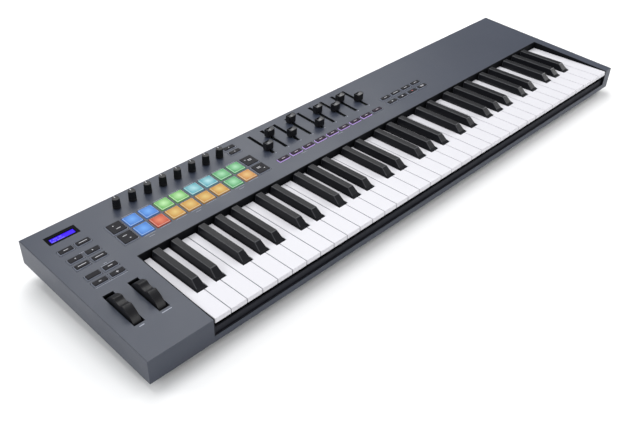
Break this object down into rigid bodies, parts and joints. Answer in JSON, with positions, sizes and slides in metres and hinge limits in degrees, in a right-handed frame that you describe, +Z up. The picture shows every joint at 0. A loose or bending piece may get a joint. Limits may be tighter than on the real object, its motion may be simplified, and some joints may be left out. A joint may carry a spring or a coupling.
{
  "type": "synthesizer keyboard",
  "caption": "Full-size synthesizer keyboard with pitch and modulation wheels, backlit pads, rotary knobs, slide faders, buttons and a small display in a slab case on a wedge base.",
  "frame": {"origin": "on the surface it stands on, under the middle of the case", "axes": "+X to the player's right along the keys, +Y away from the player, +Z up; the keys are level and the panel leans 3.8 degrees"},
  "size_m": [0.952, 0.2628, 0.0761],
  "materials": {
    "case_grey": "fine satin texture",
    "base_grey": "fine matte texture",
    "inner_black": "matte",
    "white_key": "semi gloss",
    "black_key": "fine matte texture",
    "control_black": "soft matte",
    "button_rubber": "matte caps over a pale translucent skirt",
    "pad_rubber": "translucent, lit from beneath in several colours",
    "foot_rubber": "matte",
    "steel": "zinc plated",
    "circuit_board": "solder mask",
    "contact_rubber": "silicone",
    "display_window": "dark tinted",
    "display_lit": "backlit violet blue",
    "socket_metal": "plated"
  },
  "bodies": {
    "case": {"top_case": "case_grey", "bottom_case": "base_grey", "key_well_liner": "inner_black", "rubber_feet": "foot_rubber", "case_screws": "steel", "key_chassis": "inner_black", "pivot_rod": "steel", "key_return_springs": "steel", "key_contact_board": "circuit_board", "key_contact_rubbers": "contact_rubber", "control_board": "circuit_board", "fader_potentiometers": "inner_black", "knob_potentiometers": "inner_black", "pad_sensor_board": "circuit_board", "wheel_bracket": "inner_black", "display_window": "display_window", "display_module": "display_lit", "main_board": "circuit_board", "usb_socket": "socket_metal", "midi_socket": "inner_black", "sustain_jack": "inner_black"},
    "white_keys_c": {"white_keys_c": "white_key"},
    "white_keys_d": {"white_keys_d": "white_key"},
    "white_keys_e": {"white_keys_e": "white_key"},
    "white_keys_f": {"white_keys_f": "white_key"},
    "white_keys_g": {"white_keys_g": "white_key"},
    "white_keys_a": {"white_keys_a": "white_key"},
    "white_keys_b": {"white_keys_b": "white_key"},
    "white_key_top_c": {"white_key_top_c": "white_key"},
    "black_keys_c_sharp": {"black_keys_c_sharp": "black_key"},
    "black_keys_d_sharp": {"black_keys_d_sharp": "black_key"},
    "black_keys_f_sharp": {"black_keys_f_sharp": "black_key"},
    "black_keys_g_sharp": {"black_keys_g_sharp": "black_key"},
    "black_keys_a_sharp": {"black_keys_a_sharp": "black_key"},
    "pitch_wheel": {"pitch_wheel": "control_black"},
    "mod_wheel": {"mod_wheel": "control_black"},
    "knob_1": {"knob_1": "control_black"},
    "knob_2": {"knob_2": "control_black"},
    "knob_3": {"knob_3": "control_black"},
    "knob_4": {"knob_4": "control_black"},
    "knob_5": {"knob_5": "control_black"},
    "knob_6": {"knob_6": "control_black"},
    "knob_7": {"knob_7": "control_black"},
    "knob_8": {"knob_8": "control_black"},
    "fader_1": {"fader_1": "control_black"},
    "fader_2": {"fader_2": "control_black"},
    "fader_3": {"fader_3": "control_black"},
    "fader_4": {"fader_4": "control_black"},
    "fader_5": {"fader_5": "control_black"},
    "fader_6": {"fader_6": "control_black"},
    "fader_7": {"fader_7": "control_black"},
    "fader_8": {"fader_8": "control_black"},
    "fader_9": {"fader_9": "control_black"},
    "pads": {"pads": "pad_rubber"},
    "menu_buttons": {"menu_buttons": "button_rubber"},
    "pad_bank_buttons": {"pad_bank_buttons": "button_rubber"},
    "scene_buttons": {"scene_buttons": "button_rubber"},
    "knob_page_buttons": {"knob_page_buttons": "button_rubber"},
    "fader_buttons": {"fader_buttons": "button_rubber"},
    "transport_buttons": {"transport_buttons": "button_rubber"}
  },
  "joints": [
    {"name": "white_keys_c_press", "type": "hinge", "parent": "case", "child": "white_keys_c", "pos_m": [0, 0.08063, 0.03], "axis": [1, 0, 0], "range_deg": [0, 2.6], "stiffness_Nm_per_rad": 6, "springref_deg": -6.88},
    {"name": "black_keys_c_sharp_press", "type": "hinge", "parent": "case", "child": "black_keys_c_sharp", "pos_m": [0, 0.08063, 0.03], "axis": [1, 0, 0], "range_deg": [0, 2.6], "stiffness_Nm_per_rad": 6, "springref_deg": -6.88},
    {"name": "white_key_top_c_press", "type": "hinge", "parent": "case", "child": "white_key_top_c", "pos_m": [0, 0.08063, 0.03], "axis": [1, 0, 0], "range_deg": [0, 2.6], "stiffness_Nm_per_rad": 1.5, "springref_deg": -6.88},
    {"name": "pads_press", "type": "slide", "parent": "case", "child": "pads", "axis": [0, 0.0663, -0.9978], "range_m": [0, 0.001], "stiffness_N_per_m": 1500, "springref_m": -0.002},
    {"name": "pitch_wheel_turn", "type": "hinge", "parent": "case", "child": "pitch_wheel", "pos_m": [-0.449, -0.04881, 0.03325], "axis": [1, 0, 0], "range_deg": [-35, 35], "stiffness_Nm_per_rad": 0.08},
    {"name": "mod_wheel_turn", "type": "hinge", "parent": "case", "child": "mod_wheel", "pos_m": [-0.4158, -0.04881, 0.03325], "axis": [1, 0, 0], "range_deg": [-35, 35]},
    {"name": "knob_1_turn", "type": "hinge", "parent": "case", "child": "knob_1", "pos_m": [-0.3526, 0.10511, 0.06071], "axis": [0, -0.0663, 0.9978], "range_deg": [-150, 150]},
    {"name": "fader_1_slide", "type": "slide", "parent": "case", "child": "fader_1", "axis": [0, 0.9978, 0.0663], "range_m": [-0.0069, 0.0381]},
    {"name": "fader_buttons_press", "type": "slide", "parent": "case", "child": "fader_buttons", "axis": [0, 0.0663, -0.9978], "range_m": [0, 0.001], "stiffness_N_per_m": 600, "springref_m": -0.002},
    {"name": "menu_buttons_press", "type": "slide", "parent": "case", "child": "menu_buttons", "axis": [0, 0.0663, -0.9978], "range_m": [0, 0.001], "stiffness_N_per_m": 600, "springref_m": -0.002},
    {"name": "transport_buttons_press", "type": "slide", "parent": "case", "child": "transport_buttons", "axis": [0, 0.0663, -0.9978], "range_m": [0, 0.001], "stiffness_N_per_m": 600, "springref_m": -0.002},
    {"name": "pad_bank_buttons_press", "type": "slide", "parent": "case", "child": "pad_bank_buttons", "axis": [0, 0.0663, -0.9978], "range_m": [0, 0.001], "stiffness_N_per_m": 600, "springref_m": -0.002},
    {"name": "scene_buttons_press", "type": "slide", "parent": "case", "child": "scene_buttons", "axis": [0, 0.0663, -0.9978], "range_m": [0, 0.001], "stiffness_N_per_m": 600, "springref_m": -0.002},
    {"name": "knob_page_buttons_press", "type": "slide", "parent": "case", "child": "knob_page_buttons", "axis": [0, 0.0663, -0.9978], "range_m": [0, 0.001], "stiffness_N_per_m": 600, "springref_m": -0.002},
    {"name": "fader_4_slide", "type": "slide", "parent": "case", "child": "fader_4", "axis": [0, 0.9978, 0.0663], "range_m": [-0.0381, 0.0069]},
    {"name": "fader_5_slide", "type": "slide", "parent": "case", "child": "fader_5", "axis": [0, 0.9978, 0.0663], "range_m": [-0.0023, 0.0427]},
    {"name": "white_keys_d_press", "type": "hinge", "parent": "case", "child": "white_keys_d", "pos_m": [0, 0.08063, 0.03], "axis": [1, 0, 0], "range_deg": [0, 2.6], "stiffness_Nm_per_rad": 6, "springref_deg": -6.88},
    {"name": "white_keys_e_press", "type": "hinge", "parent": "case", "child": "white_keys_e", "pos_m": [0, 0.08063, 0.03], "axis": [1, 0, 0], "range_deg": [0, 2.6], "stiffness_Nm_per_rad": 6, "springref_deg": -6.88},
    {"name": "white_keys_f_press", "type": "hinge", "parent": "case", "child": "white_keys_f", "pos_m": [0, 0.08063, 0.03], "axis": [1, 0, 0], "range_deg": [0, 2.6], "stiffness_Nm_per_rad": 6, "springref_deg": -6.88},
    {"name": "white_keys_g_press", "type": "hinge", "parent": "case", "child": "white_keys_g", "pos_m": [0, 0.08063, 0.03], "axis": [1, 0, 0], "range_deg": [0, 2.6], "stiffness_Nm_per_rad": 6, "springref_deg": -6.88},
    {"name": "white_keys_a_press", "type": "hinge", "parent": "case", "child": "white_keys_a", "pos_m": [0, 0.08063, 0.03], "axis": [1, 0, 0], "range_deg": [0, 2.6], "stiffness_Nm_per_rad": 6, "springref_deg": -6.88},
    {"name": "white_keys_b_press", "type": "hinge", "parent": "case", "child": "white_keys_b", "pos_m": [0, 0.08063, 0.03], "axis": [1, 0, 0], "range_deg": [0, 2.6], "stiffness_Nm_per_rad": 6, "springref_deg": -6.88},
    {"name": "black_keys_d_sharp_press", "type": "hinge", "parent": "case", "child": "black_keys_d_sharp", "pos_m": [0, 0.08063, 0.03], "axis": [1, 0, 0], "range_deg": [0, 2.6], "stiffness_Nm_per_rad": 6, "springref_deg": -6.88},
    {"name": "black_keys_f_sharp_press", "type": "hinge", "parent": "case", "child": "black_keys_f_sharp", "pos_m": [0, 0.08063, 0.03], "axis": [1, 0, 0], "range_deg": [0, 2.6], "stiffness_Nm_per_rad": 6, "springref_deg": -6.88},
    {"name": "black_keys_g_sharp_press", "type": "hinge", "parent": "case", "child": "black_keys_g_sharp", "pos_m": [0, 0.08063, 0.03], "axis": [1, 0, 0], "range_deg": [0, 2.6], "stiffness_Nm_per_rad": 6, "springref_deg": -6.88},
    {"name": "black_keys_a_sharp_press", "type": "hinge", "parent": "case", "child": "black_keys_a_sharp", "pos_m": [0, 0.08063, 0.03], "axis": [1, 0, 0], "range_deg": [0, 2.6], "stiffness_Nm_per_rad": 6, "springref_deg": -6.88},
    {"name": "fader_2_slide", "type": "slide", "parent": "case", "child": "fader_2", "axis": [0, 0.9978, 0.0663], "range_m": [-0.0312, 0.0138]},
    {"name": "fader_3_slide", "type": "slide", "parent": "case", "child": "fader_3", "axis": [0, 0.9978, 0.0663], "range_m": [-0.01, 0.035]},
    {"name": "fader_6_slide", "type": "slide", "parent": "case", "child": "fader_6", "axis": [0, 0.9978, 0.0663], "range_m": [-0.0307, 0.0143]},
    {"name": "fader_7_slide", "type": "slide", "parent": "case", "child": "fader_7", "axis": [0, 0.9978, 0.0663], "range_m": [-0.0172, 0.0278]},
    {"name": "fader_8_slide", "type": "slide", "parent": "case", "child": "fader_8", "axis": [0, 0.9978, 0.0663], "range_m": [-0.0307, 0.0143]},
    {"name": "fader_9_slide", "type": "slide", "parent": "case", "child": "fader_9", "axis": [0, 0.9978, 0.0663], "range_m": [-0.0142, 0.0308]},
    {"name": "knob_2_turn", "type": "hinge", "parent": "case", "child": "knob_2", "pos_m": [-0.3286, 0.10511, 0.06071], "axis": [0, -0.0663, 0.9978], "range_deg": [-150, 150]},
    {"name": "knob_3_turn", "type": "hinge", "parent": "case", "child": "knob_3", "pos_m": [-0.3046, 0.10511, 0.06071], "axis": [0, -0.0663, 0.9978], "range_deg": [-150, 150]},
    {"name": "knob_4_turn", "type": "hinge", "parent": "case", "child": "knob_4", "pos_m": [-0.2806, 0.10511, 0.06071], "axis": [0, -0.0663, 0.9978], "range_deg": [-150, 150]},
    {"name": "knob_5_turn", "type": "hinge", "parent": "case", "child": "knob_5", "pos_m": [-0.2566, 0.10511, 0.06071], "axis": [0, -0.0663, 0.9978], "range_deg": [-150, 150]},
    {"name": "knob_6_turn", "type": "hinge", "parent": "case", "child": "knob_6", "pos_m": [-0.2326, 0.10511, 0.06071], "axis": [0, -0.0663, 0.9978], "range_deg": [-150, 150]},
    {"name": "knob_7_turn", "type": "hinge", "parent": "case", "child": "knob_7", "pos_m": [-0.2086, 0.10511, 0.06071], "axis": [0, -0.0663, 0.9978], "range_deg": [-150, 150]},
    {"name": "knob_8_turn", "type": "hinge", "parent": "case", "child": "knob_8", "pos_m": [-0.1846, 0.10511, 0.06071], "axis": [0, -0.0663, 0.9978], "range_deg": [-150, 150]}
  ]
}
